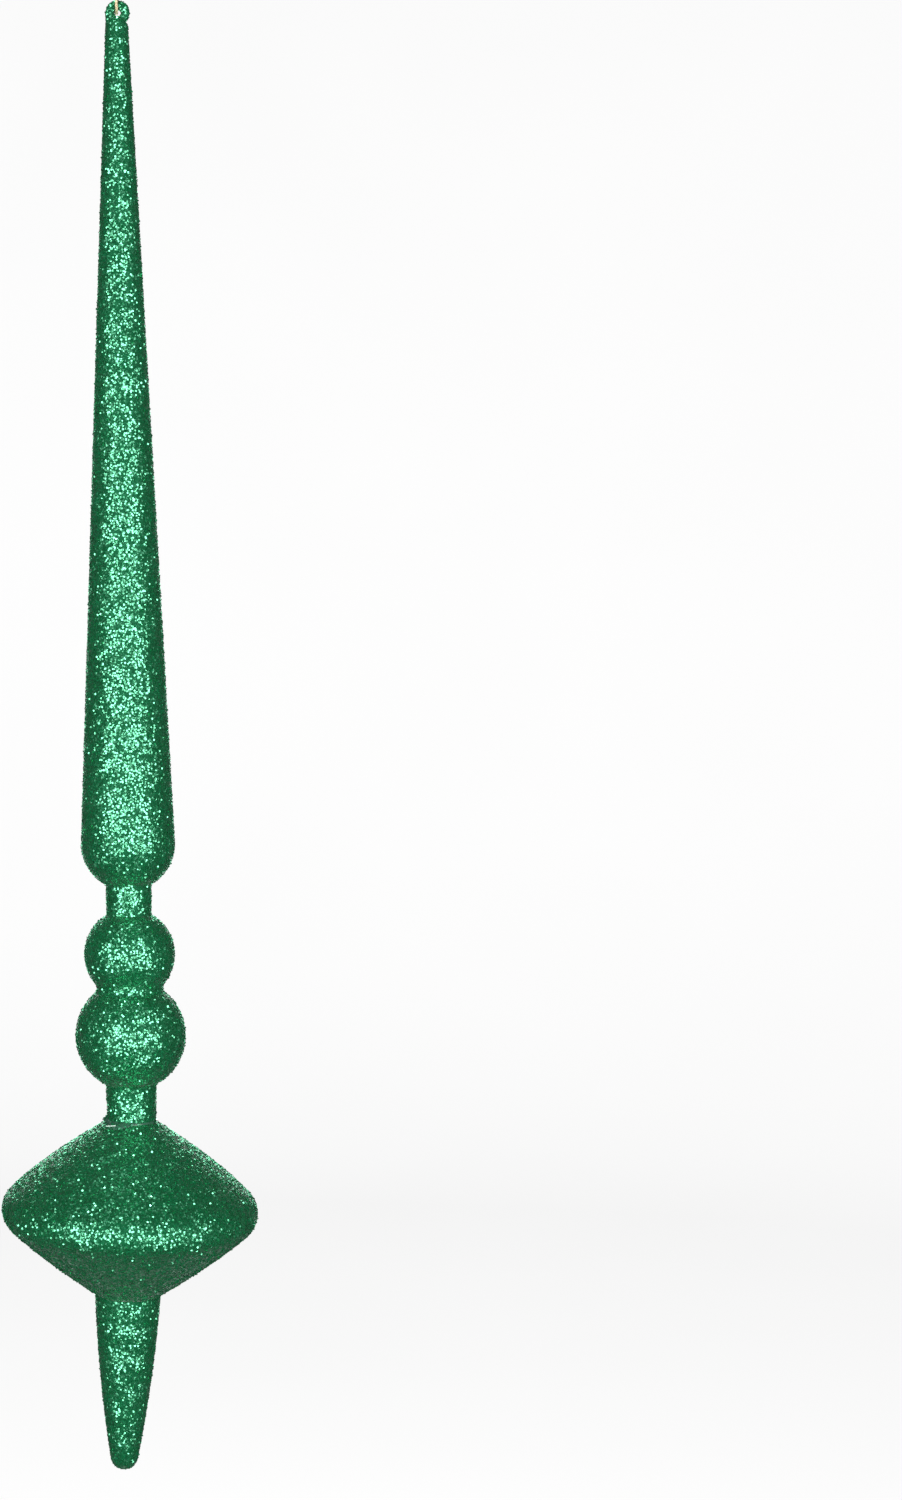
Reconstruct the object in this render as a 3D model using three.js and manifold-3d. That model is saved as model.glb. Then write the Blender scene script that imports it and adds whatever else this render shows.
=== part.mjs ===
// Icicle ornament: a slim hollow spire, two balls, a saucer and a blunt spike, moulded in thin
// plastic, glued end to end and hung from a tied loop of thread.
// Millimetres, +Z up. The origin is the place where a hook or a twig holds the thread loop.
// A depth is measured down the ornament from the top of its eyelet.
import * as THREE from 'three';
import { mergeVertices } from 'three/addons/utils/BufferGeometryUtils.js';
import Module from 'manifold-3d';

const SEGMENTS = 28; // facets round each turned piece
const ARC_STEPS = 5; // facets along each round stretch of an outline
const WALL = 1.2; // moulded wall
const GLUE_GAP = 0.1; // film of glue between two pieces
const LEAN = 2.05; // degrees by which the saucer and spike were glued out of line

// Thread loop and its knot
const THREAD = { radius: 0.5, sides: 8, steps: 80, clearance: 0.3 };
const LOOP_DROP = 46.5; // from the origin down to the thread's lowest point
const KNOT = { bottom: 3.4, height: 3.8, radius: 1.7, tail: 7, splay: 14 };

// Eyelet: a round tab with a hole, on a foot and a stem. The chord is the tab's lower edge.
const EYELET = { radius: 3.7, thickness: 2.4, edge: 0.5, hole: 1.15, holeRise: -0.1, chord: 7.1 };
const FOOT = { radius: 3.05, top: 6.7, bottom: 7.3 };
const STEM = { radius: 1.75, bottom: 17, clearance: 0.15 };

// Spire, the cup that closes its wide end, and the neck under the cup
const SPIRE = { top: 7.4, topRadius: 3.47, head: 1.6 };
const CUP = { centre: 262.4, radius: 14.55 };
const NECK = { radius: 7, taper: 0.6 };

// Balls, the ring between them, and the neck under the lower one
const UPPER_BALL = { centre: 296.8, radius: 14.03 };
const LOWER_BALL = { centre: 322, radius: 17.05 };
const WAIST = { top: 306.9, bottom: 308.1, radius: 10.25, spigot: 7.5, spigotLength: 4 };
const LOWER_NECK = { topRadius: 7.85, end: 348.25, endRadius: 7.48 };

// Saucer and spike. A slope is the growth of the radius for each millimetre of depth.
const SAUCER = {
  top: 348.65, topRadius: 7.6, topSlope: 1.6,
  rim: 376.3, rimRadius: 39.7, edge: 7.2, edgeTopSlope: 0.97, edgeBottomSlope: 1.12,
  bottom: 402.2, bottomRadius: 10.3, bottomSlope: 1.5,
};
const SPIKE = { top: 402.35, topRadius: 10.15, topSlope: 0.055, end: 457, tip: 4.3, tipSlope: 0.175 };

// Lips, sleeves and glue that hold the moulded pieces together
const LIP = { height: 2.5, thickness: 1, root: 1.6, clearance: 0.4 };
const CUP_LIP_HEIGHT = 5;
const RIM_LIP_CLEARANCE = 1.3; // the saucer's wall turns in quickly above its rim
const SLEEVE_WALL = 1.1;
const NECK_SLEEVE = { radius: 5.65, top: 270, bottom: 290, clearance: 0.2 };
const SAUCER_SPIGOT = { radius: 5.7, top: 339, bottom: 357, clearance: 0.45 };
const SPIKE_SLEEVE = { radius: 8.1, top: 395, bottom: 409, clearance: 0.3 };
const BEAD = { radius: 8.3, depth: 348, thickness: 0.42, lip: 0.8, lipWidth: 0.6, droop: 0.4 };

// The thread's lowest point bears on the eyelet's hole
const HOLE_CENTRE = -LOOP_DROP + THREAD.radius + THREAD.clearance - EYELET.hole;
const EYELET_TOP = HOLE_CENTRE - EYELET.holeRise + EYELET.radius;

const wasm = await Module();
wasm.setup();

// A point of an outline
const at = (radius, depth) => new THREE.Vector2(radius, -depth);

// The hollow inside a ball
const hollowOf = ({ centre, radius }) => ({ centre, radius: radius - WALL });

// The depth at which a ball has a radius: above its centre for side -1, below it for side 1
const depthAt = ({ centre, radius }, r, side) => centre + side * Math.sqrt(radius ** 2 - r ** 2);

// Points on a ball, from one depth to another
function ballArc({ centre, radius }, from, to) {
  const angleAt = (depth) => Math.asin(THREE.MathUtils.clamp((centre - depth) / radius, -1, 1));
  return Array.from({ length: ARC_STEPS + 1 }, (_, i) => {
    const angle = THREE.MathUtils.lerp(angleAt(from), angleAt(to), i / ARC_STEPS);
    return at(radius * Math.cos(angle), centre - radius * Math.sin(angle));
  });
}

// A curved flank that leaves one point at one slope and reaches the other at another slope
function flank(start, startSlope, end, endSlope) {
  const y = (end.x - start.x + startSlope * start.y - endSlope * end.y) / (startSlope - endSlope);
  const meet = new THREE.Vector2(start.x + startSlope * (y - start.y), y);
  return new THREE.QuadraticBezierCurve(start, meet, end).getPoints(ARC_STEPS);
}

// The inside of a wall, from its top end down, where its outside runs upwards
function inset(outside) {
  return outside.map((point, i) => {
    const before = outside[Math.max(i - 1, 0)];
    const after = outside[Math.min(i + 1, outside.length - 1)];
    const along = after.clone().sub(before).normalize();
    return new THREE.Vector2(point.x - along.y * WALL, point.y + along.x * WALL);
  }).reverse();
}

// The lip of a piece, which stands up from its rim inside the piece above
function lip(rimRadius, depth, clearance, height) {
  const outside = rimRadius - WALL - clearance;
  const inside = outside - LIP.thickness;
  return [
    at(outside, depth), at(outside, depth - height),
    at(inside, depth - height), at(inside, depth + LIP.root),
  ];
}

// A turned piece. Its outline runs up the outside and down the inside.
function turned(outline) {
  const onAxis = outline[0].x === 0 && outline.at(-1).x === 0;
  const closed = onAxis ? outline : [...outline, outline[0]];
  return new THREE.LatheGeometry(closed, SEGMENTS).rotateX(Math.PI / 2);
}

// The upper half of a ball. Its wall starts at one depth outside and at another inside.
function topHalf(ball, outerStart, innerStart) {
  return turned([
    ...ballArc(ball, ball.centre, outerStart),
    ...ballArc(hollowOf(ball), innerStart, ball.centre),
  ]);
}

// The lower half of a ball, with its lip. Its wall ends at one depth outside and at another
// inside, or runs on from there to a foot's outer and inner points.
function bottomHalf(ball, outerEnd, innerEnd, foot = [], lipHeight = LIP.height) {
  const rim = ball.centre + GLUE_GAP;
  return turned([
    ...foot.slice(0, 1),
    ...ballArc(ball, outerEnd, rim),
    ...lip(ball.radius, rim, LIP.clearance, lipHeight),
    ...ballArc(hollowOf(ball), rim + LIP.root, innerEnd),
    ...foot.slice(1),
  ]);
}

function solidOf(geometry) {
  const merged = mergeVertices(geometry.clone().deleteAttribute('normal').deleteAttribute('uv'));
  const vertProperties = new Float32Array(merged.attributes.position.array);
  const triVerts = new Uint32Array(merged.index.array);
  return new wasm.Manifold(new wasm.Mesh({ numProp: 3, vertProperties, triVerts }));
}

function joined(geometries) {
  const whole = geometries.map(solidOf).reduce((sum, next) => sum.add(next));
  const { vertProperties, triVerts } = whole.getMesh();
  const geometry = new THREE.BufferGeometry();
  geometry.setAttribute('position', new THREE.BufferAttribute(vertProperties, 3));
  return geometry.setIndex(new THREE.BufferAttribute(triVerts, 1));
}

// Half of the thread's route, as (y, height above the thread's lowest point): through the hole,
// round its edge, up beside the eyelet, and in over the hook to the knot. The other half mirrors it.
const HALF_ROUTE = [
  [0, 0], [0.7, 0], [1.2, 0.1], [1.62, 0.38], [1.9, 0.8], [2, 1.3],
  [2.05, 5], [2.2, 12], [2.4, 20], [2.6, 28], [2.8, 36], [2.9, 42],
  [2.88, 43.6], [2.72, 45.1], [2.15, 46.5], [1.3, 47.7], [0.75, 48.8], [0.6, 49.6],
];

function threadLoop() {
  const far = HALF_ROUTE.slice(1).map(([y, height]) => [-y, height]).reverse();
  const route = [...far, ...HALF_ROUTE].map(([y, height]) => new THREE.Vector3(0, y, height - LOOP_DROP));
  return new THREE.ExtrudeGeometry(new THREE.Shape().absarc(0, 0, THREAD.radius, 0, 2 * Math.PI), {
    curveSegments: THREAD.sides / 2,
    steps: THREAD.steps,
    extrudePath: new THREE.CatmullRomCurve3(route, false, 'centripetal'),
  });
}

// The overhand knot, as the blob that it fills, with the thread's two cut ends standing out of it
function threadKnot() {
  const blob = new THREE.SphereGeometry(1, 12, 8).rotateX(Math.PI / 2);
  blob.scale(KNOT.radius, KNOT.radius, KNOT.height / 2);
  const tails = [-1, 1].map((side) => {
    const tail = new THREE.CylinderGeometry(THREAD.radius, THREAD.radius, KNOT.tail, THREAD.sides);
    tail.rotateX(Math.PI / 2).translate(0, 0, KNOT.tail / 2);
    return tail.rotateX(side * THREE.MathUtils.degToRad(KNOT.splay));
  });
  return joined([blob, ...tails]).translate(0, 0, KNOT.bottom + KNOT.height / 2);
}

function hangerEyelet() {
  const round = EYELET.radius - EYELET.edge;
  const chord = Math.asin((EYELET.chord - EYELET.radius - EYELET.edge) / round);
  const face = new THREE.Shape().absarc(0, 0, round, -chord, Math.PI + chord);
  face.holes.push(new THREE.Path().absarc(0, EYELET.holeRise, EYELET.hole + EYELET.edge, 0, 2 * Math.PI));
  const tab = new THREE.ExtrudeGeometry(face, {
    curveSegments: 12,
    depth: EYELET.thickness - 2 * EYELET.edge,
    bevelSize: EYELET.edge,
    bevelThickness: EYELET.edge,
    bevelSegments: 2,
  });
  tab.translate(0, 0, EYELET.edge - EYELET.thickness / 2);
  tab.rotateX(Math.PI / 2).translate(0, 0, -EYELET.radius);
  const stem = turned([
    at(0, STEM.bottom), at(STEM.radius, STEM.bottom), at(STEM.radius, FOOT.bottom),
    at(FOOT.radius, FOOT.bottom), at(FOOT.radius, FOOT.top), at(0, FOOT.top),
  ]);
  return joined([tab, stem]);
}

function spireShell() {
  const bore = STEM.radius + STEM.clearance;
  const underHead = SPIRE.top + SPIRE.head;
  return turned([
    at(CUP.radius, CUP.centre), at(SPIRE.topRadius, SPIRE.top),
    at(bore, SPIRE.top), at(bore, underHead),
    at(SPIRE.topRadius - WALL, underHead), at(CUP.radius - WALL, CUP.centre),
  ]);
}

// The bowl under the spire, with the neck that stands on the upper ball
function spireEndCup() {
  const bore = NECK.radius - WALL;
  const outerEnd = depthAt(CUP, NECK.radius, 1);
  const innerEnd = depthAt(hollowOf(CUP), bore, 1);
  const foot = depthAt(UPPER_BALL, NECK.radius, -1) - GLUE_GAP;
  const feet = [at(NECK.radius, foot), at(bore, foot - NECK.taper)];
  return bottomHalf(CUP, outerEnd, innerEnd, feet, CUP_LIP_HEIGHT);
}

function upperBallTop() {
  const bore = NECK_SLEEVE.radius + NECK_SLEEVE.clearance;
  return topHalf(UPPER_BALL, depthAt(UPPER_BALL, bore, -1), depthAt(hollowOf(UPPER_BALL), bore, -1));
}

function upperBallBottom() {
  return bottomHalf(UPPER_BALL, WAIST.top - GLUE_GAP, WAIST.top - GLUE_GAP);
}

// The ring between the balls: a flange that shows, with a spigot into each ball
function waistCollar() {
  const { top, bottom, radius, spigot, spigotLength } = WAIST;
  const bore = spigot - SLEEVE_WALL;
  return turned([
    at(spigot, bottom + spigotLength), at(spigot, bottom), at(radius, bottom),
    at(radius, top), at(spigot, top), at(spigot, top - spigotLength),
    at(bore, top - spigotLength), at(bore, bottom + spigotLength),
  ]);
}

function lowerBallTop() {
  return topHalf(LOWER_BALL, WAIST.bottom + GLUE_GAP, WAIST.bottom + GLUE_GAP);
}

// The lower half of the lower ball, with the neck that stands on the saucer
function lowerBallBottom() {
  const { topRadius, endRadius, end } = LOWER_NECK;
  const outerEnd = depthAt(LOWER_BALL, topRadius, 1);
  const innerEnd = depthAt(hollowOf(LOWER_BALL), topRadius - WALL, 1);
  return bottomHalf(LOWER_BALL, outerEnd, innerEnd, [at(endRadius, end), at(endRadius - WALL, end)]);
}

// A point of the saucer's rounded edge, at an angle above (side -1) or below (side 1) its rim
function edgePoint(angle, side) {
  const radius = SAUCER.rimRadius - SAUCER.edge * (1 - Math.cos(angle));
  return at(radius, SAUCER.rim + side * SAUCER.edge * Math.sin(angle));
}

// The rounded edge from the rim to just short of where the flank starts
function roundedEdge(flankSlope, side) {
  return [0, 1 / 3, 2 / 3].map((share) => edgePoint(share * Math.atan(flankSlope), side));
}

function saucerTopShell() {
  const { edgeTopSlope, topSlope, topRadius, top, rim, rimRadius } = SAUCER;
  const bore = SAUCER_SPIGOT.radius + SAUCER_SPIGOT.clearance;
  const flankStart = edgePoint(Math.atan(edgeTopSlope), -1);
  const outside = [
    ...roundedEdge(edgeTopSlope, -1),
    ...flank(flankStart, -edgeTopSlope, at(topRadius, top), -topSlope),
  ];
  const inside = inset(outside);
  inside.at(-1).set(rimRadius - WALL, -rim);
  return turned([...outside, at(bore, top), at(bore, top + WALL), ...inside]);
}

function saucerBottomShell() {
  const { edgeBottomSlope, bottomSlope, bottomRadius, bottom, rimRadius } = SAUCER;
  const bore = SPIKE_SLEEVE.radius + SPIKE_SLEEVE.clearance;
  const rim = SAUCER.rim + GLUE_GAP;
  const flankEnd = edgePoint(Math.atan(edgeBottomSlope), 1);
  const outside = [
    ...flank(at(bottomRadius, bottom), bottomSlope, flankEnd, edgeBottomSlope),
    ...roundedEdge(edgeBottomSlope, 1).reverse(),
  ];
  outside.at(-1).y = -rim;
  return turned([
    ...outside,
    ...lip(rimRadius, rim, RIM_LIP_CLEARANCE, LIP.height),
    ...inset(outside).filter(({ y }) => y < -rim - LIP.root),
    at(bore, bottom - WALL), at(bore, bottom),
  ]);
}

function spikeShell() {
  const { top, topRadius, topSlope, end, tip, tipSlope } = SPIKE;
  const ball = { centre: end - tip, radius: tip };
  const turn = Math.atan(tipSlope);
  const side = at(tip * Math.cos(turn), ball.centre + tip * Math.sin(turn));
  const outside = [
    ...ballArc(ball, end, -side.y),
    ...flank(side, tipSlope, at(topRadius, top), topSlope).slice(1),
  ];
  outside[0].x = 0;
  const inside = inset(outside);
  inside[0].y = -top;
  inside.at(-1).x = 0;
  return turned([...outside, ...inside]);
}

// The ring of glue between neck and saucer, with the lip that was squeezed out on its -X side
function glueBead() {
  const ring = new THREE.TorusGeometry(BEAD.radius, BEAD.thickness, 6, SEGMENTS);
  const place = ring.attributes.position;
  for (let i = 0; i < place.count; i += 1) {
    const radius = Math.hypot(place.getX(i), place.getY(i));
    const angle = Math.atan2(place.getY(i), -place.getX(i));
    const outward = Math.max(radius - BEAD.radius, 0) / BEAD.thickness;
    const push = BEAD.lip * outward * Math.exp(-((angle / BEAD.lipWidth) ** 2));
    const growth = 1 + push / radius;
    place.setX(i, place.getX(i) * growth);
    place.setY(i, place.getY(i) * growth);
    place.setZ(i, place.getZ(i) - push * BEAD.droop);
  }
  return ring.translate(0, 0, -BEAD.depth);
}

// A sleeve inside two moulded pieces
function sleeve({ radius, top, bottom }) {
  const bore = radius - SLEEVE_WALL;
  return turned([at(radius, bottom), at(radius, top), at(bore, top), at(bore, bottom)]);
}

function add(parent, finish, name, geometry) {
  const mesh = new THREE.Mesh(geometry, new THREE.MeshStandardMaterial(finish));
  mesh.name = name;
  parent.add(mesh);
}

const GLITTER = { color: 0x1f6a42, roughness: 0.45, metalness: 0.4 };
const BARE_PLASTIC = { color: 0xdfe6df, roughness: 0.6, metalness: 0 };
const GOLD_THREAD = { color: 0xc9a75a, roughness: 0.45, metalness: 0.6 };

const group = new THREE.Group();
add(group, GOLD_THREAD, 'thread_loop', threadLoop());
add(group, GOLD_THREAD, 'thread_knot', threadKnot());

const ornament = new THREE.Group();
ornament.position.z = EYELET_TOP;
group.add(ornament);
add(ornament, GLITTER, 'hanger_eyelet', hangerEyelet());
add(ornament, GLITTER, 'spire_shell', spireShell());
add(ornament, GLITTER, 'spire_end_cup', spireEndCup());
add(ornament, BARE_PLASTIC, 'neck_sleeve', sleeve(NECK_SLEEVE));
add(ornament, GLITTER, 'upper_ball_top', upperBallTop());
add(ornament, GLITTER, 'upper_ball_bottom', upperBallBottom());
add(ornament, GLITTER, 'waist_collar', waistCollar());
add(ornament, GLITTER, 'lower_ball_top', lowerBallTop());
add(ornament, GLITTER, 'lower_ball_bottom', lowerBallBottom());
add(ornament, BARE_PLASTIC, 'saucer_spigot', sleeve(SAUCER_SPIGOT));

// The saucer and spike lean about the end of the neck
const leaning = new THREE.Group();
leaning.position.z = -LOWER_NECK.end;
leaning.rotation.y = THREE.MathUtils.degToRad(LEAN);
ornament.add(leaning);

const lower = new THREE.Group();
lower.position.z = LOWER_NECK.end;
leaning.add(lower);
add(lower, GLITTER, 'glue_bead', glueBead());
add(lower, GLITTER, 'saucer_top_shell', saucerTopShell());
add(lower, GLITTER, 'saucer_bottom_shell', saucerBottomShell());
add(lower, BARE_PLASTIC, 'spike_sleeve', sleeve(SPIKE_SLEEVE));
add(lower, GLITTER, 'spike_shell', spikeShell());

export default group;
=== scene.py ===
"""An icicle ornament in glittered plastic, hung from gold thread in a white studio.

Metres, +Z up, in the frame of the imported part. A depth is measured down the ornament from the top
of its eyelet. Each moulded CAD shell is replaced by a smooth skin that wears a coat of real flakes.
"""

import math

import bmesh
import bpy
import numpy as np
from mathutils import Matrix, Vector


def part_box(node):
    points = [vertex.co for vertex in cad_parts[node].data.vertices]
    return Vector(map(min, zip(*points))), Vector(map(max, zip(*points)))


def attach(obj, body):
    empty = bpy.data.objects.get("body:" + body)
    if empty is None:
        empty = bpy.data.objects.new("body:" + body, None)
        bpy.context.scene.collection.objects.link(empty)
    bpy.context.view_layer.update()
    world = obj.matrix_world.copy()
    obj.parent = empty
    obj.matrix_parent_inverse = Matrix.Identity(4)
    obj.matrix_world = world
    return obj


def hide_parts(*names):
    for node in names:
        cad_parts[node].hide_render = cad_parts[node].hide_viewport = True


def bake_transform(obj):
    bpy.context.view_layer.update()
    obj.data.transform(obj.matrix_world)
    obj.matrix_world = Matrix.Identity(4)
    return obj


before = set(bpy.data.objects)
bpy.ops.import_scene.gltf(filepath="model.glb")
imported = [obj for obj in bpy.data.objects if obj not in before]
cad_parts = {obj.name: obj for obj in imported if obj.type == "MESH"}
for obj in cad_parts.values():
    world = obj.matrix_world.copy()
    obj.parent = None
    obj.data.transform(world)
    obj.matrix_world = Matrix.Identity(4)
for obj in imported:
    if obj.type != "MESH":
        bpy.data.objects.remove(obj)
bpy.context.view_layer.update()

# Driving dimensions of the moulded pieces, as in the part apart from the eyelet's shift to the right,
# its foot and the coat's soft corners. A ball is (depth of its centre, radius), a post (radius, depth
# of its top, depth of its foot) and an end or a rim (radius, depth). A slope is how fast the radius
# changes with height.
WALL = 0.0012
LEAN = math.radians(2.05)
EYELET_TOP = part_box("hanger_eyelet")[1].z
EYELET_RADIUS = 0.0037
EYELET_THICKNESS = 0.0024
EYELET_SHIFT = 0.0003
HOLE_RADIUS = 0.00115
HOLE_RISE = -0.0001
FOOT = (0.0028, 0.0060, 0.0074)
STEM = (0.00175, 0.0070, 0.0170)
NOTCH_FILL = (0.00115, 0.0044, 0.0074)
NOTCH_SHIFT = -0.0023
SPIRE_TOP = (0.00347, 0.0074)
CUP = (0.2624, 0.01455)
NECK_RADIUS = 0.0070
UPPER_BALL = (0.2968, 0.01403)
LOWER_BALL = (0.3220, 0.01705)
WAIST_TOP = 0.3069
WAIST_BOTTOM = 0.3081
WAIST_FILLET = 0.01075
WAIST_CORNER = 0.0099
LOWER_NECK_TOP_RADIUS = 0.00785
LOWER_NECK_END = (0.00748, 0.34825)
SAUCER_TOP = (0.0076, 0.34865)
SAUCER_TOP_SLOPE = 1.6
SAUCER_RIM = (0.0397, 0.3763)
SAUCER_EDGE = 0.0072
EDGE_TOP_SLOPE = 0.97
EDGE_BOTTOM_SLOPE = 1.12
SAUCER_BOTTOM = (0.0103, 0.4022)
SAUCER_BOTTOM_SLOPE = 1.5
SPIKE_TOP = (0.01015, 0.40235)
SPIKE_TOP_SLOPE = 0.055
SPIKE_END = 0.457
SPIKE_TIP = 0.0043
SPIKE_TIP_SLOPE = 0.175
COAT_FILLET = 0.0008

# Glue: a ring with a nub on the left, a smear on the front left and a thin strand on the smear, which is
# pale as a painted highlight. Angles are about the ornament's axis from +X, and each bump's width is in
# radians.
BEAD_RADIUS = 0.00735
BEAD_DEPTH = 0.34845
BEAD_THICKNESS = 0.0005
BEAD_RIPPLE = 0.12
BEAD_RIPPLES = 3
BEAD_PHASE = 1
NUB_ANGLE = math.radians(180)
NUB_WIDTH = 0.3
NUB_THICKENING = 0.0002
NUB_REACH = 0.0005
NUB_RISE = 0.0006
SMEAR_ANGLE = math.radians(-125)
SMEAR_WIDTH = 0.5
SMEAR_REACH = 0.0024
GLUE_STRAND_ENDS = ((0.0100, 0.34945), (0.0094, 0.34885))
GLUE_STRAND_DEGREES = (-142, -122)
GLUE_STRAND_RADIUS = 0.00019

# Thread, wound from strands, and its knot just above the hook. The two ends start at KNOT_ENTRY from
# the axis under the knot, pass through its middle at KNOT_CORE, and splay out above it as tails.
THREAD_RADIUS = 0.0005
STRAND_RADIUS = 0.00027
STRAND_OFFSET = 0.00024
STRANDS = 3
TWIST_PITCH = 0.0027
THREAD_STEP = 0.00022
LOOP_DROP = 0.0465
KNOT_MIDDLE = 0.0053
KNOT_HEIGHT = 0.0036
KNOT_TURNS = 2.6
KNOT_WRAP = 0.00115
KNOT_END_WRAP = 0.35
KNOT_WIDENING = 4
KNOT_ENTRY = 0.0006
KNOT_CORE = 0.00045
KNOT_OVERLAP = 0.0003
TAIL = 0.0070
TAIL_SPLAY = math.radians(14)

# Half of the loop's route, as (y, height above its lowest point): through the eyelet's hole, up
# beside the eyelet, and in over the hook to the knot. The other half mirrors it.
HALF_ROUTE = (
    (0, 0), (0.0007, 0), (0.0012, 0.0001), (0.00162, 0.00038), (0.0019, 0.0008), (0.002, 0.0013),
    (0.00205, 0.005), (0.0022, 0.012), (0.0024, 0.02), (0.0026, 0.028), (0.0028, 0.036), (0.0029, 0.042),
    (0.00288, 0.0436), (0.00272, 0.0451), (0.00215, 0.0465), (0.0013, 0.0477), (0.00075, 0.0488),
    (0.0006, 0.0496),
)

# Fineness of the meshes
SEGMENTS = 176
ARC_STEP = math.radians(3)
FLANK_STEPS = 28
WAIST_STEPS = 12
FILLET_STEPS = 6
EDGE_POINTS = 16
BEAD_SIDES = 20
GLUE_STRAND_POINTS = 9
KNOT_POINTS = 120
POST_STEP = 0.0003
POST_SIDES = 48
NOTCH_FILL_SIDES = 24
TAB_SEGMENTS = 96
TAB_SIDES = 40
TAB_SQUARENESS = 0.45
EYELET_VOXEL = 0.00012
SOFTENING_PASSES = 5
MERGE_DISTANCE = 1e-7
SHARP_ANGLE = math.radians(35)

# Glitter: flakes per square metre, tilts as slopes from the skin, and the lengths of the coat's gentle
# swells. A flake's centre is lifted with its tilt, so that its low edge stays out of the skin.
FLAKE_CORNERS = 6
FLAKE_RADIUS = 0.00031
FLAKE_SIZES = (0.8, 1.15)
FLAKE_DENSITY = 3.3e6
GLUE_SHARE = 0.35
FLAKE_TILT = 0.175
LOOSE_SHARE = 0.11
LOOSE_TILT = 0.5
SWELL_TILT = 0.07
SWELLS = 6
SWELL_LENGTHS = (0.004, 0.009)
TILT_LIFT = 0.45
FLAKE_CLEARANCE = 0.00002
SEED = 18

# Colours, as (position, colour) along a ramp
COAT_TONES = (
    (0.0, (0.001, 0.054, 0.016)),
    (0.55, (0.002, 0.074, 0.023)),
    (1.0, (0.006, 0.12, 0.042)),
)
# Glue: greyer and bluer than the coat, partly its own colour and partly a painted reflection
GLUE_AND_REFLECTION_TONES = ((0.35, (0.02, 0.085, 0.05)), (0.65, (0.045, 0.13, 0.085)))
# Painted highlight: the pale colour of the thin strand on the glue's smear
HIGHLIGHT_STRAND_TONES = ((0.35, (0.42, 0.66, 0.52)), (0.6, (0.7, 0.86, 0.76)))
PLASTIC_TONES = ((0.3, (0.72, 0.77, 0.71)), (0.7, (0.82, 0.86, 0.81)))
GOLD_TONES = ((0.3, (0.5, 0.34, 0.15)), (0.5, (0.82, 0.68, 0.42)), (0.72, (0.95, 0.88, 0.7)))
PAPER_TONES = ((0, (0.9, 0.9, 0.9)), (1, (0.94, 0.94, 0.94)))

# Name, colour, roughness and share of the flakes
FLAKE_TONES = (
    ("flake_deep", (0.003, 0.118, 0.038), 0.4, 0.4),
    ("flake_emerald", (0.004, 0.17, 0.055), 0.17, 0.4),
    ("flake_bright", (0.01, 0.24, 0.09), 0.17, 0.2),
)
FOIL_GLINT = (0.28, 0.97, 0.58, 1)
COAT_GLINT = (0.2, 0.95, 0.55, 1)
SHEEN_TINT = (0.6, 0.8, 0.7, 1)

# Camera: level with the middle of the ornament, which hangs left of the picture's middle
CAMERA_DISTANCE = 0.6074
CAMERA_HEIGHT = -0.2763
CAMERA_LENS = 46.8
CAMERA_SHIFT = 0.2162
CAMERA_ROLL = math.radians(0.79)

# Lights: azimuth and elevation in degrees, width, height and radiance of each softbox
SOFTBOXES = (
    (-33, 1, 0.65, 1.05, 4.1),
    (33, 1, 0.65, 1.05, 4.1),
    (-20, 72, 0.12, 0.12, 16.0),
    (180, 1, 0.9, 1.05, 3.8),
)
LIGHT_AIM = -0.30
LIGHT_DISTANCE = 1.1
WORLD_STRENGTH = 0.36

# Studio sweep
FLOOR_HEIGHT = -0.95
SWEEP_RADIUS = 3.2
SWEEP_BEND = 0.9
SWEEP_TOP = 4.0
SWEEP_BEND_POINTS = 12
SWEEP_SIDES = 64

# Turned outlines are drawn in minus the depth. UPPER lifts them into the frame, and LOWER also leans
# the saucer, the spike and the glue towards -X about the end of the lower neck.
UPPER = Matrix.Translation((0, 0, EYELET_TOP))
LOWER = (
    Matrix.Translation((0, 0, EYELET_TOP - LOWER_NECK_END[1]))
    @ Matrix.Rotation(LEAN, 4, "Y")
    @ Matrix.Translation((0, 0, LOWER_NECK_END[1]))
)


# Meshes


def new_object(name, mesh):
    obj = bpy.data.objects.new(name, mesh)
    bpy.context.scene.collection.objects.link(obj)
    return obj


def mesh_of(name, verts, faces, slots=None):
    """A smooth-shaded mesh with merged points and outward normals. slots gives each face's material."""
    mesh = bpy.data.meshes.new(name)
    mesh.from_pydata(np.asarray(verts).tolist(), [], faces)
    if slots is not None:
        mesh.polygons.foreach_set("material_index", slots)
    shell = bmesh.new()
    shell.from_mesh(mesh)
    bmesh.ops.remove_doubles(shell, verts=shell.verts, dist=MERGE_DISTANCE)
    bmesh.ops.recalc_face_normals(shell, faces=shell.faces)
    shell.to_mesh(mesh)
    shell.free()
    mesh.shade_smooth()
    mesh.set_sharp_from_angle(angle=SHARP_ANGLE)
    return mesh


def grid_faces(rings, sides, closed):
    """Quads between rings of points, and from the last ring to the first if closed."""
    faces = []
    for i in range(rings if closed else rings - 1):
        here, there = i * sides, (i + 1) % rings * sides
        for j in range(sides):
            k = (j + 1) % sides
            faces.append((here + j, here + k, there + k, there + j))
    return faces


def unit(vectors):
    return vectors / np.linalg.norm(vectors, axis=-1, keepdims=True)


# Outlines, as points (radius, minus the depth)


def at(radius, depth):
    return np.array((radius, -depth))


def depth_at(ball, radius, side):
    """The depth at which a ball has a radius, above (-1) or below (1) its centre."""
    return ball[0] + side * math.sqrt(ball[1] ** 2 - radius**2)


def ball_arc(ball, start, end):
    """Points on a ball from one depth to another."""
    centre, radius = ball
    first, last = (math.asin(np.clip((centre - d) / radius, -1, 1)) for d in (start, end))
    steps = max(2, round(abs(last - first) / ARC_STEP))
    return [
        at(radius * math.cos(angle), centre - radius * math.sin(angle))
        for angle in np.linspace(first, last, steps + 1)
    ]


def curve(start, meet, end, steps):
    """A curved stretch between two points, which heads for the point where their tangents meet."""
    return [
        (1 - t) ** 2 * start + 2 * t * (1 - t) * meet + t * t * end
        for t in np.linspace(0, 1, steps + 1)
    ]


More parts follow.
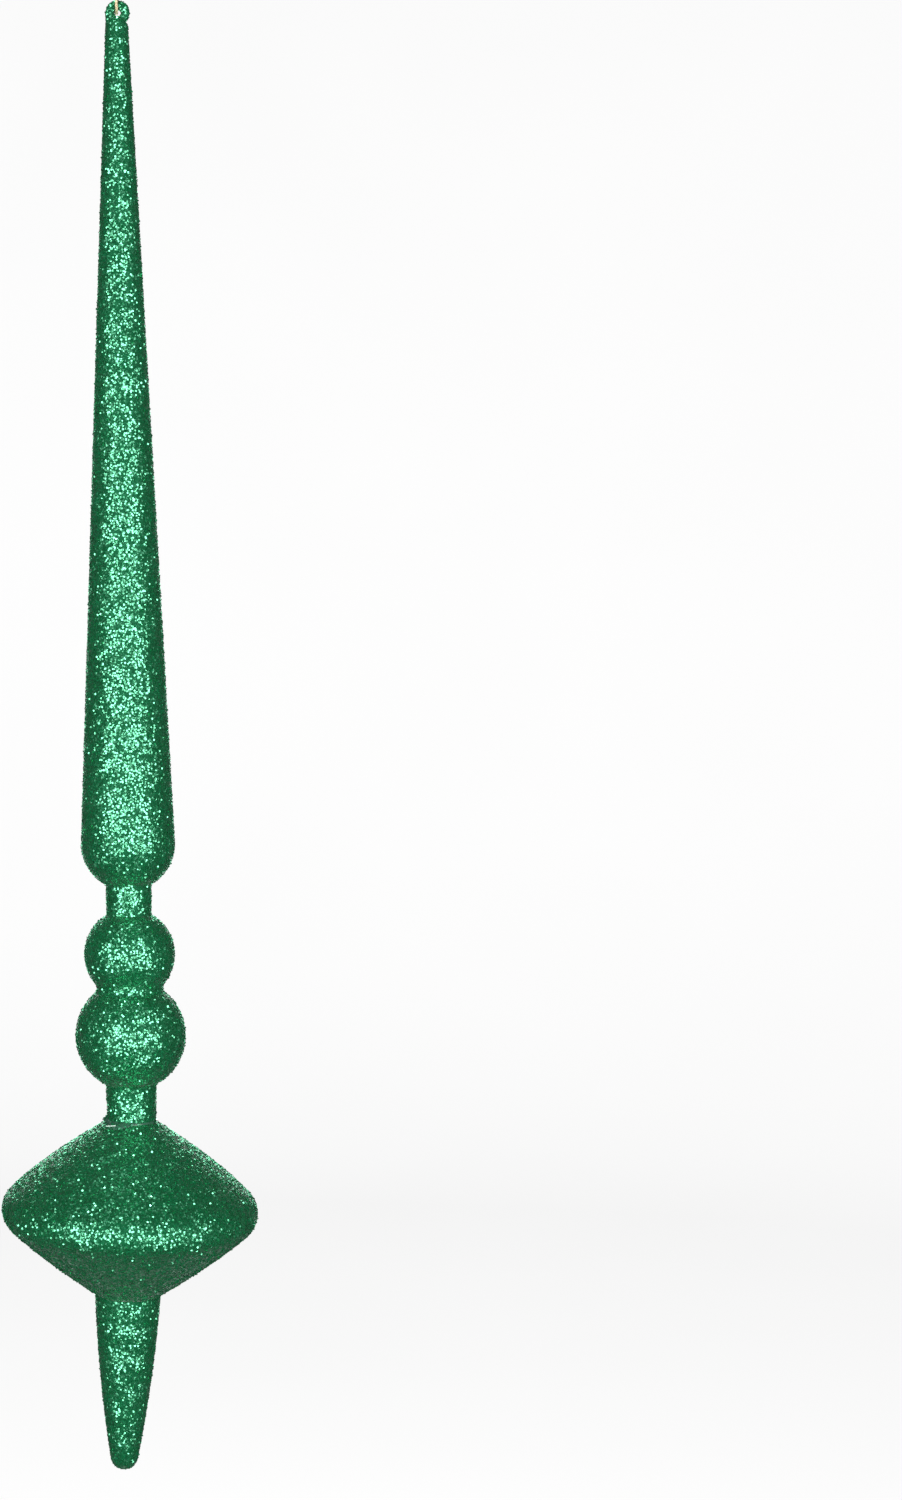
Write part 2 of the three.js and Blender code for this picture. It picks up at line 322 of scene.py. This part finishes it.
def flank(start, start_slope, end, end_slope):
    """A curved flank that leaves one point at one slope and reaches the other at another."""
    y = (end[0] - start[0] + start_slope * start[1] - end_slope * end[1]) / (start_slope - end_slope)
    meet = np.array((start[0] + start_slope * (y - start[1]), y))
    return curve(start, meet, end, FLANK_STEPS)


def fillet(before, corner, after):
    """The coat's soft turn in a corner."""
    start = corner + unit(before - corner) * COAT_FILLET
    end = corner + unit(after - corner) * COAT_FILLET
    return curve(start, corner, end, FILLET_STEPS)


def inset(outer):
    """The inside of a wall, from its top end down."""
    points = np.array(outer)
    along = unit(np.gradient(points, axis=0))
    inner = points + WALL * np.stack((-along[:, 1], along[:, 0]), axis=1)
    inner[:, 0] = np.maximum(inner[:, 0], 0)
    return list(inner[::-1])


def edge_point(angle, side):
    """A point of the saucer's rounded edge, at an angle above (-1) or below (1) its rim."""
    radius, depth = SAUCER_RIM
    inward = SAUCER_EDGE * (1 - math.cos(angle))
    return at(radius - inward, depth + side * SAUCER_EDGE * math.sin(angle))


def turned(name, outer, place):
    """A shell turned about the ornament's axis. Slot 0 is its coated outside and slot 1 the rest."""
    outline = np.array([*outer, *inset(outer)])
    on_axis = outline[0][0] == 0
    sides = len(outline)
    angles = np.linspace(0, 2 * math.pi, SEGMENTS, endpoint=False)
    verts = np.stack(
        [
            np.outer(np.cos(angles), outline[:, 0]),
            np.outer(np.sin(angles), outline[:, 0]),
            np.tile(outline[:, 1], (SEGMENTS, 1)),
        ],
        axis=-1,
    ).reshape(-1, 3)
    coated = len(outer) - 1
    used = sides - 1 if on_axis else sides
    faces = [f for i, f in enumerate(grid_faces(SEGMENTS, sides, True)) if i % sides < used]
    slots = [0 if i % used < coated else 1 for i in range(len(faces))]
    mesh = mesh_of(name, verts, faces, slots)
    mesh.transform(place)
    return new_object(name, mesh)


# Thread


def resampled(points, step):
    """Points at an even step along a polyline."""
    points = np.asarray(points, float)
    along = np.concatenate(([0], np.cumsum(np.linalg.norm(np.diff(points, axis=0), axis=1))))
    even = np.linspace(0, along[-1], max(4, round(along[-1] / step)) + 1)
    return np.stack([np.interp(even, along, points[:, i]) for i in range(3)], axis=1)


def between(u, start, end, first, last):
    """The place at u on the line that is at first for start and at last for end."""
    return ((end - u) * first + (u - start) * last) / (end - start)


def smooth_route(points, steps=12):
    """A centripetal Catmull-Rom curve through the points."""
    ends = 2 * points[0] - points[1], 2 * points[-1] - points[-2]
    points = np.array([ends[0], *points, ends[1]])
    route = []
    for i in range(len(points) - 3):
        p = points[i : i + 4]
        gaps = np.linalg.norm(np.diff(p, axis=0), axis=1) ** 0.5
        t = np.concatenate(([0], np.cumsum(gaps)))
        for u in np.linspace(t[1], t[2], steps, endpoint=False):
            a = [between(u, t[k], t[k + 1], p[k], p[k + 1]) for k in range(3)]
            b = [between(u, t[k], t[k + 2], a[k], a[k + 1]) for k in range(2)]
            route.append(between(u, t[1], t[2], b[0], b[1]))
    return np.array([*route, points[-2]])


def tube(centres, outward, radius, sides=8):
    """A closed tube round a line of points. outward is a direction across the line at each point."""
    along = unit(np.gradient(centres, axis=0))
    across = unit(outward - along * np.sum(outward * along, axis=1, keepdims=True))
    other = np.cross(along, across)
    angles = np.linspace(0, 2 * math.pi, sides, endpoint=False)
    rings = (
        centres[:, None]
        + radius * np.cos(angles)[None, :, None] * across[:, None]
        + radius * np.sin(angles)[None, :, None] * other[:, None]
    )
    faces = grid_faces(len(centres), sides, False)
    faces.append(tuple(range(sides)))
    faces.append(tuple((len(centres) - 1) * sides + j for j in range(sides)))
    return rings.reshape(-1, 3), faces


def twisted_thread(points):
    """The strands of a thread along a route, each a tube that winds about it."""
    centres = resampled(points, THREAD_STEP)
    along = unit(np.gradient(centres, axis=0))
    normals = np.empty_like(along)
    any_direction = (0.3, 0.9, 0.2)
    normal = np.cross(along[0], any_direction)
    for i, direction in enumerate(along):
        normal = unit(normal - direction * (normal @ direction))
        normals[i] = normal
    sideways = np.cross(along, normals)
    travel = np.arange(len(centres)) * THREAD_STEP
    for strand in range(STRANDS):
        turn = 2 * math.pi * (travel / TWIST_PITCH + strand / STRANDS)
        outward = np.cos(turn)[:, None] * normals + np.sin(turn)[:, None] * sideways
        yield tube(centres + STRAND_OFFSET * outward, outward, STRAND_RADIUS)


def merged(name, solids):
    """One object from several closed solids, each (points, faces)."""
    verts, faces = [], []
    for points, solid_faces in solids:
        faces += [tuple(len(verts) + i for i in face) for face in solid_faces]
        verts += list(points)
    return new_object(name, mesh_of(name, verts, faces))


def make_knot():
    """A barrel knot: the loop's two ends, bound by turns of thread, with their tails above it."""
    turns = np.linspace(0, 2 * math.pi * KNOT_TURNS, KNOT_POINTS)
    share = np.linspace(0, 1, KNOT_POINTS)
    widening = KNOT_WIDENING * np.minimum(share, 1 - share)
    radius = KNOT_WRAP * np.minimum(1, widening + KNOT_END_WRAP)
    height = KNOT_MIDDLE + (share - 0.5) * (KNOT_HEIGHT - 2 * THREAD_RADIUS)
    wrap = np.stack((radius * np.cos(turns), radius * np.sin(turns), height), axis=1)
    solids = list(twisted_thread(wrap))
    for side in (-1, 1):
        foot = (0, side * KNOT_ENTRY, KNOT_MIDDLE - KNOT_HEIGHT / 2 - KNOT_OVERLAP)
        middle = (0, side * KNOT_CORE, KNOT_MIDDLE)
        top = (0, side * math.sin(TAIL_SPLAY) * TAIL, KNOT_MIDDLE + math.cos(TAIL_SPLAY) * TAIL)
        solids += twisted_thread(smooth_route(np.array([foot, middle, top])))
    return merged("thread_barrel_knot", solids)


def make_thread():
    """The loop through the eyelet, with both ends in the knot."""
    far = [(0, -y, height - LOOP_DROP) for y, height in HALF_ROUTE[:0:-1]]
    near = [(0, y, height - LOOP_DROP) for y, height in HALF_ROUTE]
    route = smooth_route(np.array([*far, *near]))
    thread = merged("twisted_thread_loop", twisted_thread(route))
    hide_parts("thread_loop")
    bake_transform(thread)
    return thread


# Moulded pieces


def squared(wave):
    """A sine or cosine that stays longer near its ends, for a rounded square."""
    return np.sign(wave) * np.abs(wave) ** TAB_SQUARENESS


def make_tab():
    """The eyelet's rounded tab, with its hole a little off centre."""
    angles = np.linspace(0, 2 * math.pi, TAB_SEGMENTS, endpoint=False)
    around = np.linspace(0, 2 * math.pi, TAB_SIDES, endpoint=False)
    share = 0.5 + 0.5 * squared(np.cos(around))
    y = EYELET_THICKNESS / 2 * squared(np.sin(around))
    direction = np.stack((np.cos(angles), np.sin(angles)), axis=1)
    inner = HOLE_RADIUS * direction + (EYELET_SHIFT, HOLE_RISE)
    outer = EYELET_RADIUS * direction + (EYELET_SHIFT, 0)
    flat = inner[:, None] * (1 - share)[None, :, None] + outer[:, None] * share[None, :, None]
    y = np.broadcast_to(y, flat.shape[:2])
    tab = np.stack((flat[..., 0], y, flat[..., 1] - EYELET_RADIUS), axis=-1)
    return tab.reshape(-1, 3), grid_faces(TAB_SEGMENTS, TAB_SIDES, True)


def make_post(x, post, sides):
    """An upright round post, centred at x."""
    radius, top, bottom = post
    line = resampled([(x, 0, -top), (x, 0, -bottom)], POST_STEP)
    return tube(line, np.tile((1.0, 0, 0), (len(line), 1)), radius, sides)


def soften_union(obj):
    """Joins an object's overlapping solids into one and rounds its corners, as the coat does."""
    union = obj.modifiers.new("union", "REMESH")
    union.mode = "VOXEL"
    union.voxel_size = EYELET_VOXEL
    soften = obj.modifiers.new("soften", "SMOOTH")
    soften.iterations = SOFTENING_PASSES
    depsgraph = bpy.context.evaluated_depsgraph_get()
    mesh = bpy.data.meshes.new_from_object(obj.evaluated_get(depsgraph))
    obj.modifiers.clear()
    obj.data = mesh


def make_eyelet():
    """The tab on its foot and stem. The coat fills the notch under the tab on the left only."""
    posts = [make_post(0, post, POST_SIDES) for post in (FOOT, STEM)]
    notch_fill = make_post(NOTCH_SHIFT, NOTCH_FILL, NOTCH_FILL_SIDES)
    eyelet = merged("glittered_eyelet", [make_tab(), *posts, notch_fill])
    soften_union(eyelet)
    eyelet.data.transform(UPPER)
    eyelet.data.shade_smooth()
    return eyelet


def make_spire():
    return turned("glittered_spire", [at(CUP[1], CUP[0]), at(*SPIRE_TOP)], UPPER)


def make_spire_cup():
    """The bowl under the spire, with the neck that stands on the upper ball."""
    foot = at(NECK_RADIUS, depth_at(UPPER_BALL, NECK_RADIUS, -1))
    bowl = ball_arc(CUP, depth_at(CUP, NECK_RADIUS, 1), CUP[0])
    outer = [foot, *fillet(foot, bowl[0], bowl[1]), *bowl[1:]]
    return turned("glittered_spire_cup", outer, UPPER)


def make_upper_ball_top():
    start = depth_at(UPPER_BALL, NECK_RADIUS - WALL, -1)
    return turned("glittered_upper_ball_top", ball_arc(UPPER_BALL, UPPER_BALL[0], start), UPPER)


def make_upper_ball_bottom():
    return turned("glittered_upper_ball_bottom", ball_arc(UPPER_BALL, WAIST_TOP, UPPER_BALL[0]), UPPER)


def make_waist():
    """The ring between the balls, which the coat rounds off into both of them."""
    low = at(WAIST_FILLET, depth_at(LOWER_BALL, WAIST_FILLET, -1))
    high = at(WAIST_FILLET, depth_at(UPPER_BALL, WAIST_FILLET, 1))
    corner = at(WAIST_CORNER, (WAIST_TOP + WAIST_BOTTOM) / 2)
    return turned("glittered_waist", curve(low, corner, high, WAIST_STEPS), UPPER)


def make_lower_ball_top():
    return turned("glittered_lower_ball_top", ball_arc(LOWER_BALL, LOWER_BALL[0], WAIST_BOTTOM), UPPER)


def make_lower_ball_bottom():
    """The lower half of the lower ball, with the neck that stands on the saucer."""
    foot = at(*LOWER_NECK_END)
    bowl = ball_arc(LOWER_BALL, depth_at(LOWER_BALL, LOWER_NECK_TOP_RADIUS, 1), LOWER_BALL[0])
    outer = [foot, *fillet(foot, bowl[0], bowl[1]), *bowl[1:]]
    return turned("glittered_lower_ball_bottom", outer, UPPER)


def make_saucer_top():
    """The upper shell: the upper half of the rounded edge, and the concave flank up to the neck."""
    end = math.atan(EDGE_TOP_SLOPE)
    edge = [edge_point(angle, -1) for angle in np.linspace(0, end, EDGE_POINTS)]
    outer = [*edge[:-1], *flank(edge[-1], -EDGE_TOP_SLOPE, at(*SAUCER_TOP), -SAUCER_TOP_SLOPE)]
    return turned("glittered_saucer_top", outer, LOWER)


def make_saucer_bottom():
    """The lower shell: the flank from the spike out, and the lower half of the rounded edge."""
    end = math.atan(EDGE_BOTTOM_SLOPE)
    edge = [edge_point(angle, 1) for angle in np.linspace(end, 0, EDGE_POINTS)]
    outer = [*flank(at(*SAUCER_BOTTOM), SAUCER_BOTTOM_SLOPE, edge[0], EDGE_BOTTOM_SLOPE), *edge[1:]]
    return turned("glittered_saucer_bottom", outer, LOWER)


def make_spike():
    """The tapering spike with its rounded tip."""
    ball = (SPIKE_END - SPIKE_TIP, SPIKE_TIP)
    turn = math.atan(SPIKE_TIP_SLOPE)
    side = at(SPIKE_TIP * math.cos(turn), ball[0] + SPIKE_TIP * math.sin(turn))
    tip = ball_arc(ball, SPIKE_END, -side[1])
    outer = [*tip[:-1], *flank(side, SPIKE_TIP_SLOPE, at(*SPIKE_TOP), SPIKE_TOP_SLOPE)]
    outer[0][0] = 0
    return turned("glittered_spike", outer, LOWER)


def bump(angles, middle, width):
    """A smooth rise to 1 round an angle."""
    return np.exp(-((np.angle(np.exp(1j * (angles - middle))) / width) ** 2))


def make_bead():
    """The glue between neck and saucer, with its nub and its smear down the saucer."""
    angles = np.linspace(-math.pi, math.pi, SEGMENTS, endpoint=False)[:, None]
    around = np.linspace(0, 2 * math.pi, BEAD_SIDES, endpoint=False)[None]
    nub = bump(angles, NUB_ANGLE, NUB_WIDTH)
    smear = bump(angles, SMEAR_ANGLE, SMEAR_WIDTH)
    ripple = BEAD_RIPPLE * np.sin(BEAD_RIPPLES * angles + BEAD_PHASE)
    thickness = BEAD_THICKNESS * (1 + ripple) + NUB_THICKENING * nub
    push = np.maximum(np.cos(around), 0) * (NUB_REACH * nub + SMEAR_REACH * smear)
    radius = BEAD_RADIUS + NUB_REACH * nub + thickness * np.cos(around) + push
    z = thickness * np.sin(around) - push / SAUCER_TOP_SLOPE - BEAD_DEPTH + NUB_RISE * nub
    verts = np.stack((radius * np.cos(angles), radius * np.sin(angles), z), axis=-1).reshape(-1, 3)
    mesh = mesh_of("glue_bead_skin", verts, grid_faces(SEGMENTS, BEAD_SIDES, True))
    mesh.transform(LOWER)
    return new_object("glue_bead_skin", mesh)


def make_highlight_strand():
    """A short strand on the smear, which climbs it from its low left end, pale as a painted highlight.
    """
    angles = np.radians(np.linspace(*GLUE_STRAND_DEGREES, GLUE_STRAND_POINTS))
    radii, depths = np.linspace(*GLUE_STRAND_ENDS, GLUE_STRAND_POINTS).T
    line = np.stack((radii * np.cos(angles), radii * np.sin(angles), -depths), axis=1)
    upward = np.tile((0, 0, 1.0), (len(line), 1))
    strand = merged("painted_highlight_strand", [tube(line, upward, GLUE_STRAND_RADIUS)])
    strand.data.transform(LOWER)
    return strand


# Glitter


def waves(rng, count, shortest, longest):
    """Wave vectors and phases of a smooth random field, for the given range of wavelengths."""
    directions = unit(rng.normal(size=(count, 3)))
    lengths = rng.uniform(shortest, longest, (count, 1))
    return directions * 2 * math.pi / lengths, rng.uniform(0, 2 * math.pi, count)


def scatter(skin, rng, density, lowest):
    """Random points on a skin's coated faces above a height, with their normals."""
    mesh = skin.data
    mesh.calc_loop_triangles()
    count = len(mesh.loop_triangles)
    corners = np.empty(count * 3, np.int32)
    mesh.loop_triangles.foreach_get("vertices", corners)
    slots = np.empty(len(mesh.polygons), np.int32)
    mesh.polygons.foreach_get("material_index", slots)
    owners = np.empty(count, np.int32)
    mesh.loop_triangles.foreach_get("polygon_index", owners)
    places = np.empty(len(mesh.vertices) * 3, np.float32)
    mesh.vertices.foreach_get("co", places)
    triangles = places.reshape(-1, 3)[corners.reshape(-1, 3)][slots[owners] == 0].astype(float)
    crossed = np.cross(triangles[:, 1] - triangles[:, 0], triangles[:, 2] - triangles[:, 0])
    areas = np.linalg.norm(crossed, axis=1) / 2
    wanted = round(areas.sum() * density)
    chosen = rng.choice(len(areas), wanted, p=areas / areas.sum())
    u, v = np.sqrt(rng.random(wanted)), rng.random(wanted)
    shares = np.stack((1 - u, u * (1 - v), u * v), axis=1)
    points = np.einsum("nk,nkd->nd", shares, triangles[chosen])
    kept = points[:, 2] > lowest
    return points[kept], unit(crossed[chosen])[kept]


def make_flakes(skin, name, seed, density, lowest):
    """Hexagonal flakes stuck to a skin at slightly uneven tilts, above a height."""
    vectors, phases = waves(np.random.default_rng(SEED), SWELLS, *SWELL_LENGTHS)
    rng = np.random.default_rng(SEED + seed)
    points, normals = scatter(skin, rng, density, lowest)
    swell = np.sin(points @ vectors.T + phases) @ unit(vectors) * SWELL_TILT
    spread = np.where(rng.random(len(points)) < LOOSE_SHARE, LOOSE_TILT, FLAKE_TILT)
    tilt = swell + rng.normal(size=points.shape) * spread[:, None]
    tilt -= normals * np.sum(tilt * normals, axis=1, keepdims=True)
    facing = unit(normals + tilt)
    across = unit(np.cross(facing, rng.normal(size=points.shape)))
    other = np.cross(facing, across)
    radius = FLAKE_RADIUS * rng.uniform(*FLAKE_SIZES, (len(points), 1))
    lift = radius * np.linalg.norm(tilt, axis=1, keepdims=True) * TILT_LIFT + FLAKE_CLEARANCE
    centres = points + normals * lift
    angles = np.arange(FLAKE_CORNERS) * 2 * math.pi / FLAKE_CORNERS
    corners = (
        centres[:, None]
        + (radius * across)[:, None] * np.cos(angles)[None, :, None]
        + (radius * other)[:, None] * np.sin(angles)[None, :, None]
    )
    count = len(points)
    faces = np.arange(count * FLAKE_CORNERS).reshape(-1, FLAKE_CORNERS)
    mesh = bpy.data.meshes.new(name)
    mesh.from_pydata(corners.reshape(-1, 3).tolist(), [], faces.tolist())
    tones = rng.choice(len(FLAKE_TONES), count, p=[tone[-1] for tone in FLAKE_TONES])
    mesh.polygons.foreach_set("material_index", tones.astype(np.int32))
    return new_object(name, mesh)


# Materials


def new_material(name):
    material = bpy.data.materials.new(name)
    material.use_nodes = True
    return material, material.node_tree.nodes, material.node_tree.links


def set_inputs(node, values):
    for name, value in values.items():
        node.inputs[name].default_value = value


def object_pattern(nodes, links, kind, scale):
    """A texture node that reads the object's own coordinates."""
    place = nodes.new("ShaderNodeTexCoord")
    texture = nodes.new(kind)
    texture.inputs["Scale"].default_value = scale
    links.new(place.outputs["Object"], texture.inputs["Vector"])
    return texture


def ramp(nodes, links, source, stops):
    """A colour ramp on a value, with stops (position, colour)."""
    node = nodes.new("ShaderNodeValToRGB")
    elements = node.color_ramp.elements
    while len(elements) < len(stops):
        elements.new(0.5)
    for element, (position, colour) in zip(elements, stops):
        element.position = position
        element.color = (*colour, 1)
    links.new(source, node.inputs["Fac"])
    return node.outputs["Color"]


def map_range(nodes, links, source, low, high):
    node = nodes.new("ShaderNodeMapRange")
    set_inputs(node, {"To Min": low, "To Max": high})
    links.new(source, node.inputs["Value"])
    return node.outputs["Result"]


def noise_tones(nodes, links, scale, tones):
    """Noise that tones the shader's base colour. Gives back its value for other inputs."""
    noise = object_pattern(nodes, links, "ShaderNodeTexNoise", scale).outputs["Fac"]
    links.new(ramp(nodes, links, noise, tones), nodes["Principled BSDF"].inputs["Base Color"])
    return noise


def add_bump(nodes, links, height, strength, distance):
    node = nodes.new("ShaderNodeBump")
    set_inputs(node, {"Strength": strength, "Distance": distance})
    links.new(height, node.inputs["Height"])
    links.new(node.outputs["Normal"], nodes["Principled BSDF"].inputs["Normal"])


def vector_math(nodes, links, operation, *values):
    """A vector node on some values, each an output of another node or a constant."""
    node = nodes.new("ShaderNodeVectorMath")
    node.operation = operation
    for socket, value in zip(node.inputs, values):
        if isinstance(value, tuple):
            socket.default_value = value
        else:
            links.new(value, socket)
    return node


def coat_material():
    """Fine glitter too small to model: cells that each have a tone, a gloss and a tilt of their own."""
    material, nodes, links = new_material("emerald_glitter_coat")
    shader = nodes["Principled BSDF"]
    cells = object_pattern(nodes, links, "ShaderNodeTexVoronoi", scale=2300).outputs["Color"]
    split = nodes.new("ShaderNodeSeparateColor")
    links.new(cells, split.inputs["Color"])
    tone = ramp(nodes, links, split.outputs["Red"], COAT_TONES)
    patches = object_pattern(nodes, links, "ShaderNodeTexNoise", scale=140)
    shaded = vector_math(nodes, links, "SCALE", tone)
    shade = map_range(nodes, links, patches.outputs["Fac"], low=0.65, high=1.2)
    links.new(shade, shaded.inputs["Scale"])
    links.new(shaded.outputs["Vector"], shader.inputs["Base Color"])
    gloss = map_range(nodes, links, split.outputs["Green"], low=0.32, high=0.6)
    links.new(gloss, shader.inputs["Roughness"])
    surface = nodes.new("ShaderNodeNewGeometry").outputs["Normal"]
    middle = (0.5, 0.5, 0.5)
    strength = (0.5, 0.5, 0.5)
    tilt = vector_math(nodes, links, "SUBTRACT", cells, middle).outputs["Vector"]
    tilted = vector_math(nodes, links, "MULTIPLY_ADD", tilt, strength, surface).outputs["Vector"]
    facing = vector_math(nodes, links, "NORMALIZE", tilted).outputs["Vector"]
    links.new(facing, shader.inputs["Normal"])
    set_inputs(
        shader,
        {
            "IOR": 1.5,
            "Specular Tint": COAT_GLINT,
            "Sheen Weight": 0.34,
            "Sheen Roughness": 0.4,
            "Sheen Tint": SHEEN_TINT,
        },
    )
    return material


def flake_material(name, colour, roughness):
    """A foil flake: green all through, with a bright pale-green mirror face."""
    material, nodes, _ = new_material(name)
    set_inputs(
        nodes["Principled BSDF"],
        {
            "Base Color": (*colour, 1),
            "Roughness": roughness,
            "IOR": 6.5,
            "Specular Tint": FOIL_GLINT,
            "Sheen Weight": 0.06,
            "Sheen Tint": SHEEN_TINT,
        },
    )
    return material


def glue_material():
    """Set glue over the coat: smoother and glossier than the glitter round it. Its greyer, bluer colour
    is partly the glue's own and partly a painted reflection.
    """
    material, nodes, links = new_material("green_glue_and_painted_reflection")
    # Noise tones the glue between its own colour and a painted reflection
    lumps = noise_tones(nodes, links, scale=600, tones=GLUE_AND_REFLECTION_TONES)
    add_bump(nodes, links, lumps, strength=0.4, distance=0.0002)
    set_inputs(nodes["Principled BSDF"], {"Roughness": 0.3, "Coat Weight": 0.5, "Coat Roughness": 0.12})
    return material


def highlight_strand_material():
    """Pale colour of the strand on the glue: a painted highlight."""
    material, nodes, links = new_material("painted_glue_highlight")
    noise_tones(nodes, links, scale=900, tones=HIGHLIGHT_STRAND_TONES)
    set_inputs(nodes["Principled BSDF"], {"Roughness": 0.25})
    return material


def plastic_material():
    """Bare moulded plastic, as inside the shells."""
    material, nodes, links = new_material("bare_plastic")
    grain = noise_tones(nodes, links, scale=900, tones=PLASTIC_TONES)
    gloss = map_range(nodes, links, grain, low=0.45, high=0.65)
    links.new(gloss, nodes["Principled BSDF"].inputs["Roughness"])
    return material


def gold_material():
    """Metallic thread: fine foil fibres along each strand, darker in between."""
    material, nodes, links = new_material("gold_thread")
    fibres = noise_tones(nodes, links, scale=5200, tones=GOLD_TONES)
    gloss = map_range(nodes, links, fibres, low=0.3, high=0.55)
    links.new(gloss, nodes["Principled BSDF"].inputs["Roughness"])
    add_bump(nodes, links, fibres, strength=0.5, distance=0.00008)
    set_inputs(nodes["Principled BSDF"], {"Metallic": 0.45})
    return material


# Studio


def make_camera():
    """A level camera that looks along +Y, with a slight roll and a shift to the side."""
    data = bpy.data.cameras.new("camera")
    data.lens = CAMERA_LENS
    data.shift_x = CAMERA_SHIFT
    data.clip_start = 0.01
    data.clip_end = 50
    camera = new_object("camera", data)
    camera.location = (0, -CAMERA_DISTANCE, CAMERA_HEIGHT)
    camera.rotation_euler = (math.radians(90), CAMERA_ROLL, 0)
    bpy.context.scene.camera = camera


def make_softbox(azimuth, elevation, width, height, radiance):
    """A soft light that faces the ornament, as bright at any size. Azimuth 0 is the camera's side."""
    data = bpy.data.lights.new("softbox", "AREA")
    data.shape = "RECTANGLE"
    data.size = width
    data.size_y = height
    data.energy = 4 * radiance * width * height
    light = new_object("softbox", data)
    light.matrix_world = (
        Matrix.Translation((0, 0, LIGHT_AIM))
        @ Matrix.Rotation(math.radians(azimuth), 4, "Z")
        @ Matrix.Rotation(math.radians(90 - elevation), 4, "X")
        @ Matrix.Translation((0, 0, LIGHT_DISTANCE))
    )
    light.visible_camera = False


def paper_material():
    """White studio paper, which also has a glow of its own."""
    material, nodes, links = new_material("studio_paper")
    noise_tones(nodes, links, scale=3, tones=PAPER_TONES)
    set_inputs(
        nodes["Principled BSDF"],
        {"Roughness": 0.9, "Emission Color": (1, 1, 1, 1), "Emission Strength": 0.55},
    )
    return material


def make_sweep():
    """A white floor that curves up into a round wall. Only the camera sees it."""
    bend = [
        (SWEEP_RADIUS - SWEEP_BEND * (1 - math.sin(a)), FLOOR_HEIGHT + SWEEP_BEND * (1 - math.cos(a)))
        for a in np.linspace(0, math.pi / 2, SWEEP_BEND_POINTS)
    ]
    outline = [(0, FLOOR_HEIGHT), *bend, (SWEEP_RADIUS, SWEEP_TOP)]
    angles = np.linspace(0, 2 * math.pi, SWEEP_SIDES, endpoint=False)
    verts = [(r * math.cos(a), r * math.sin(a), z) for r, z in outline for a in angles]
    mesh = mesh_of("studio_sweep", verts, grid_faces(len(outline), SWEEP_SIDES, False))
    sweep = new_object("studio_sweep", mesh)
    mesh.materials.append(paper_material())
    for rays in ("diffuse", "glossy", "transmission", "shadow", "volume_scatter"):
        setattr(sweep, "visible_" + rays, False)


def make_world():
    """Even light from all round, which glossy surfaces don't mirror, under the Standard view."""
    world = bpy.data.worlds.new("studio")
    world.use_nodes = True
    background = world.node_tree.nodes["Background"]
    set_inputs(background, {"Color": (1, 1, 1, 1), "Strength": WORLD_STRENGTH})
    bpy.context.scene.world = world
    world.cycles_visibility.glossy = False
    bpy.context.scene.view_settings.view_transform = "Standard"


# Whole object

# What makes each skin, by the CAD node that the skin replaces
SKINS = {
    "hanger_eyelet": make_eyelet,
    "spire_shell": make_spire,
    "spire_end_cup": make_spire_cup,
    "upper_ball_top": make_upper_ball_top,
    "upper_ball_bottom": make_upper_ball_bottom,
    "waist_collar": make_waist,
    "lower_ball_top": make_lower_ball_top,
    "lower_ball_bottom": make_lower_ball_bottom,
    "glue_bead": make_bead,
    "saucer_top_shell": make_saucer_top,
    "saucer_bottom_shell": make_saucer_bottom,
    "spike_shell": make_spike,
}


def build_thread():
    """The knot and the loop, in gold."""
    gold = gold_material()
    knot = make_knot()
    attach(knot, "knot")
    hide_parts("thread_knot")
    thread = make_thread()
    for piece in (knot, thread):
        piece.data.materials.append(gold)


def build_ornament():
    """The skins with their flakes, the strand that paints a highlight on the glue and the plain hidden
    sleeves.
    """
    coat = coat_material()
    glue = glue_material()
    plastic = plastic_material()
    tones = [flake_material(*tone[:-1]) for tone in FLAKE_TONES]
    for seed, (node, make) in enumerate(SKINS.items(), start=1):
        skin = make()
        skin.data.materials.append(glue if node == "glue_bead" else coat)
        skin.data.materials.append(plastic)
        density = FLAKE_DENSITY * (GLUE_SHARE if node == "glue_bead" else 1)
        # The eyelet's stem is inside the spire, so it has no flakes
        lowest = EYELET_TOP - SPIRE_TOP[1] if node == "hanger_eyelet" else -math.inf
        flakes = make_flakes(skin, node + "_flakes", seed, density, lowest)
        for tone in tones:
            flakes.data.materials.append(tone)
        for piece in (skin, flakes):
            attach(piece, "ornament")
        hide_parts(node)
    # The strand on the smear, pale as a painted highlight on the glue
    strand = make_highlight_strand()
    strand.data.materials.append(highlight_strand_material())
    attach(strand, "ornament")
    for node in ("neck_sleeve", "saucer_spigot", "spike_sleeve"):
        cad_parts[node].material_slots[0].material = plastic


make_camera()
build_thread()
build_ornament()
make_world()
make_sweep()
for softbox in SOFTBOXES:
    make_softbox(*softbox)
